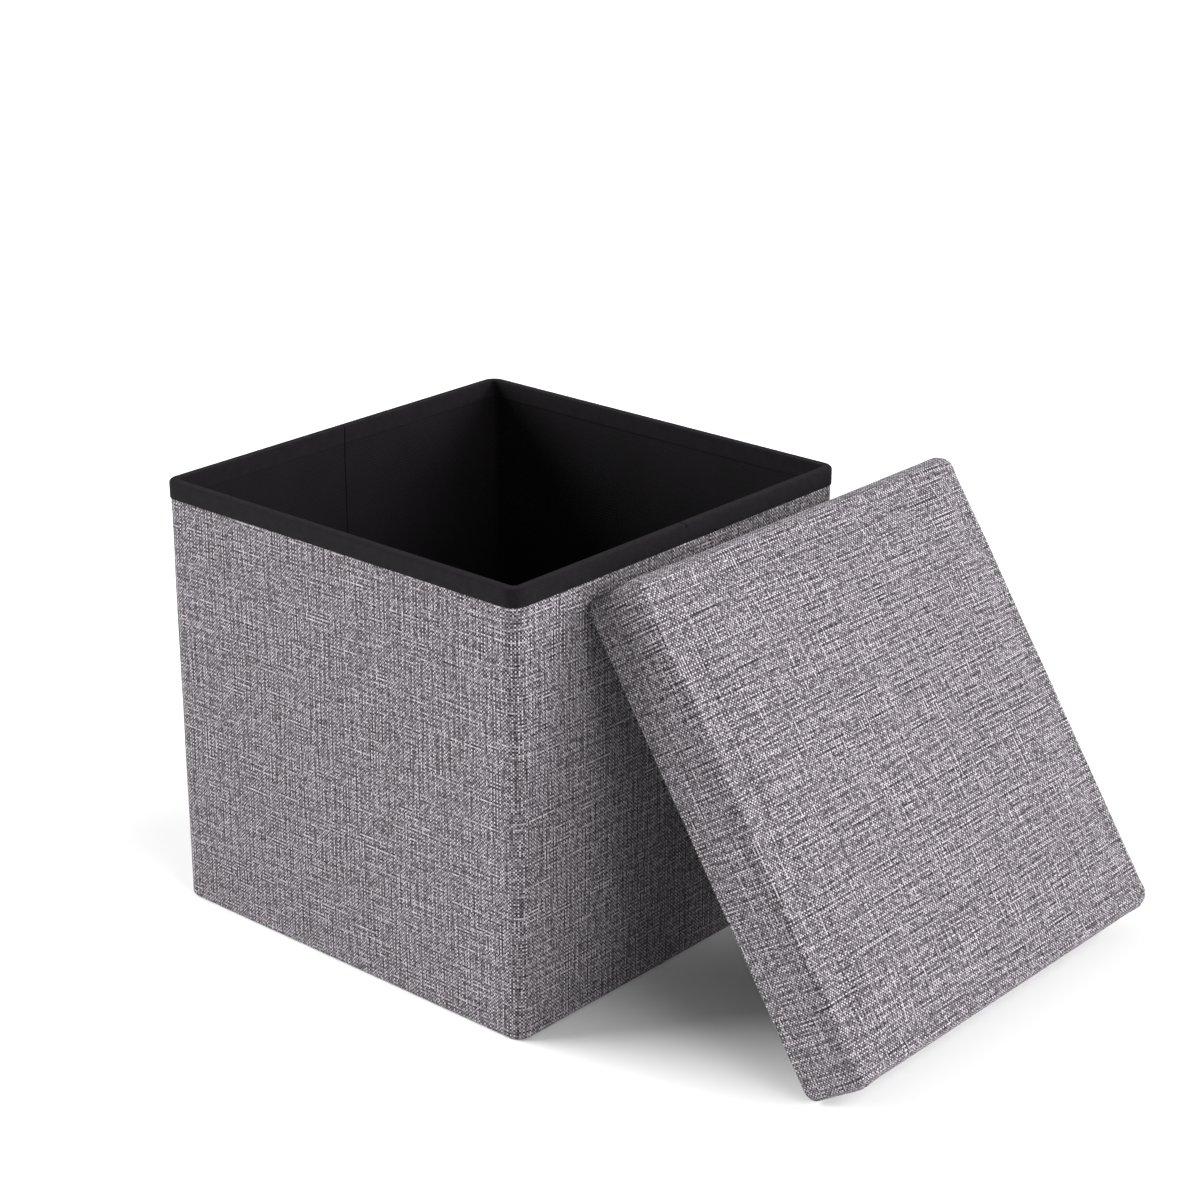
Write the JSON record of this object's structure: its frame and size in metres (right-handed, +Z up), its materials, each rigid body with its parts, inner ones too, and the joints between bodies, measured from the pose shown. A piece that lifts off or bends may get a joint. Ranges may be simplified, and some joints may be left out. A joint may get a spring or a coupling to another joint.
{
  "type": "storage ottoman",
  "caption": "Cube-shaped folding storage ottoman in slubby grey linen with a black-bound rim and a padded loose lid leaning against it.",
  "frame": {"origin": "middle of the box's footprint on the floor, under the bottom sheet", "axes": "+Z up, -Y out of the rigid front wall, +X towards the side wall that the lid leans against"},
  "size_m": [0.5381, 0.3995, 0.308],
  "materials": {
    "linen": "slubby linen-look polyester, grey and mauve yarns",
    "black_tape": "ribbed twill tape",
    "black_lining": "point-bonded non-woven lining",
    "black_nonwoven": "point-bonded non-woven sheet",
    "black_webbing": "plain woven webbing",
    "fibreboard": "raw medium-density fibreboard",
    "foam": "open-cell polyurethane foam",
    "thread": "polyester sewing thread",
    "staple_steel": "galvanised wire"
  },
  "bodies": {
    "front_wall": {"bottom_sheet": "black_nonwoven", "front_binding": "black_tape", "front_board": "fibreboard", "front_linen": "linen", "front_lining": "black_lining"},
    "right_front": {"right_front_binding": "black_tape", "right_front_board": "fibreboard", "right_front_hem": "linen", "right_front_linen": "linen", "right_front_lining": "black_lining"},
    "right_rear": {"right_rear_binding": "black_tape", "right_rear_board": "fibreboard", "right_rear_hem": "linen", "right_rear_linen": "linen", "right_rear_lining": "black_lining"},
    "left_front": {"left_front_binding": "black_tape", "left_front_board": "fibreboard", "left_front_hem": "linen", "left_front_linen": "linen", "left_front_lining": "black_lining"},
    "left_rear": {"left_rear_binding": "black_tape", "left_rear_board": "fibreboard", "left_rear_hem": "linen", "left_rear_linen": "linen", "left_rear_lining": "black_lining"},
    "back_wall": {"back_binding": "black_tape", "back_board": "fibreboard", "back_hem": "linen", "back_linen": "linen", "back_lining": "black_lining"},
    "base": {"base_board": "fibreboard", "base_pull_tab": "black_webbing", "base_wrap": "black_nonwoven"},
    "lid_seam_a": {"lid_seam_thread_a": "thread"},
    "lid_seam_b": {"lid_seam_thread_b": "thread"},
    "lid": {"lid_board": "fibreboard", "lid_dust_cover": "black_nonwoven", "lid_foam": "foam", "lid_linen": "linen", "lid_staples": "staple_steel"}
  },
  "joints": [
    {"name": "fold_right_front", "type": "hinge", "parent": "front_wall", "child": "right_front", "pos_m": [0.154, -0.1524, 0], "axis": [0, 0, 1], "range_deg": [0, 90], "deforming": ["right_front_hem", "right_rear_hem", "left_front_hem", "left_rear_hem", "back_hem", "bottom_sheet"]},
    {"name": "fold_right_crease", "type": "hinge", "parent": "right_front", "child": "right_rear", "pos_m": [0.161, 0, 0], "axis": [0, 0, 1], "range_deg": [-180, 0]},
    {"name": "fold_back", "type": "hinge", "parent": "right_rear", "child": "back_wall", "pos_m": [0.154, 0.1524, 0], "axis": [0, 0, 1], "range_deg": [0, 90]},
    {"name": "fold_left_front", "type": "hinge", "parent": "front_wall", "child": "left_front", "pos_m": [-0.154, -0.1524, 0], "axis": [0, 0, 1], "range_deg": [-90, 0]},
    {"name": "fold_left_crease", "type": "hinge", "parent": "left_front", "child": "left_rear", "pos_m": [-0.161, 0, 0], "axis": [0, 0, 1], "range_deg": [0, 180]},
    {"name": "base_lift", "type": "slide", "parent": "front_wall", "child": "base", "axis": [0, 0, 1], "range_m": [0, 0.36]},
    {"name": "lid_swing", "type": "hinge", "parent": "front_wall", "child": "lid_seam_a", "pos_m": [0.00915, 0.07, 0.28939], "axis": [0, -1, 0], "range_deg": [0, 180]},
    {"name": "lid_turn", "type": "hinge", "parent": "lid_seam_a", "child": "lid_seam_b", "pos_m": [0.1705, 0.07, 0.26974], "axis": [0, -1, 0], "range_deg": [-123, 0]},
    {"name": "lid_shift", "type": "slide", "parent": "lid_seam_b", "child": "lid", "axis": [0, 1, 0], "range_m": [-0.07, 0]}
  ],
  "couplings": [
    {"joint": "fold_right_crease", "follows": "fold_right_front", "ratio": -2},
    {"joint": "fold_back", "follows": "fold_right_front", "ratio": 1},
    {"joint": "fold_left_front", "follows": "fold_right_front", "ratio": -1},
    {"joint": "fold_left_crease", "follows": "fold_right_front", "ratio": 2},
    {"joint": "lid_turn", "follows": "lid_swing", "ratio": -0.68333},
    {"joint": "lid_shift", "follows": "lid_swing", "m_per_rad": -0.022282}
  ]
}
